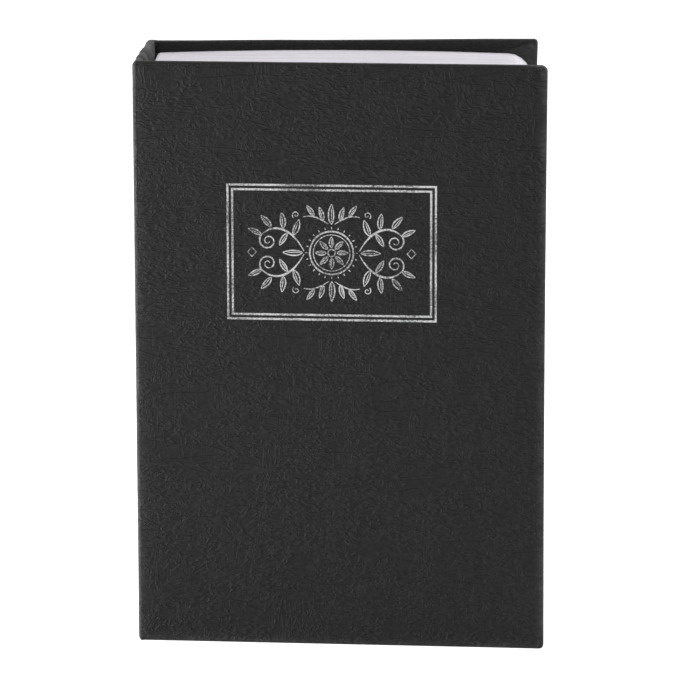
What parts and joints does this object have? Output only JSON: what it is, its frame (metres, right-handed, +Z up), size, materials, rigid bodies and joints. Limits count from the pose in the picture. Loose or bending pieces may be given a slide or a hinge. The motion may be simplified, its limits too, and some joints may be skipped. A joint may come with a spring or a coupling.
{
  "type": "book diversion safe",
  "caption": "Steel lock box hidden in a dummy book: hinged leatherette cover, moulded page block, hinged steel lid and cam lock.",
  "frame": {"origin": "middle of the footprint that the standing book takes up, on the surface it stands on", "axes": "+Z up along the height of the book, -Y out of the front cover, -X towards the spine"},
  "size_m": [0.1548, 0.0658, 0.224],
  "materials": {
    "leatherette": "black textured leatherette, semi-matt",
    "greyboard": "uncoated greyboard",
    "endpaper": "black paper",
    "page_plastic": "moulded white plastic with page lines",
    "black_steel": "black powder coat",
    "zinced_steel": "zinc plated",
    "chrome": "bright nickel-chrome plate",
    "brass": "turned brass"
  },
  "bodies": {
    "case": {"spine_board": "greyboard", "back_board": "greyboard", "spine_and_back_wrap": "leatherette", "spine_lining": "endpaper", "page_shell": "page_plastic", "steel_box": "black_steel", "box_hinge_leaf": "black_steel", "hinge_pin": "zinced_steel", "box_leaf_rivet_1": "zinced_steel", "box_leaf_rivet_2": "zinced_steel", "box_leaf_rivet_3": "zinced_steel", "floor_rivet_1": "zinced_steel", "floor_rivet_2": "zinced_steel", "floor_rivet_3": "zinced_steel", "floor_rivet_4": "zinced_steel"},
    "front_cover": {"front_board": "greyboard", "front_cover_wrap": "leatherette", "front_endpaper": "endpaper"},
    "lid": {"steel_lid": "black_steel", "lid_hinge_leaf": "black_steel", "lid_rivet_1": "zinced_steel", "lid_rivet_2": "zinced_steel", "lid_rivet_3": "zinced_steel", "lock_barrel": "chrome", "lock_bezel": "chrome", "lock_washer": "zinced_steel", "lock_nut": "zinced_steel"},
    "lock_plug": {"lock_plug": "brass", "lock_cam": "zinced_steel", "cam_screw": "zinced_steel"}
  },
  "joints": [
    {"name": "cover_hinge", "type": "hinge", "parent": "case", "child": "front_cover", "pos_m": [-0.07746, -0.02408, 0.112], "axis": [0, 0, -1], "range_deg": [0, 176]},
    {"name": "lid_hinge", "type": "hinge", "parent": "case", "child": "lid", "pos_m": [-0.05911, -0.01933, 0.112], "axis": [0, 0, -1], "range_deg": [0, 100]},
    {"name": "lock_turn", "type": "hinge", "parent": "lid", "child": "lock_plug", "pos_m": [0.03934, -0.02408, 0.112], "axis": [0, -1, 0], "range_deg": [0, 90]}
  ],
  "couplings": [
    {"joint": "lid_hinge", "follows": "cover_hinge", "ratio": 0.568}
  ]
}
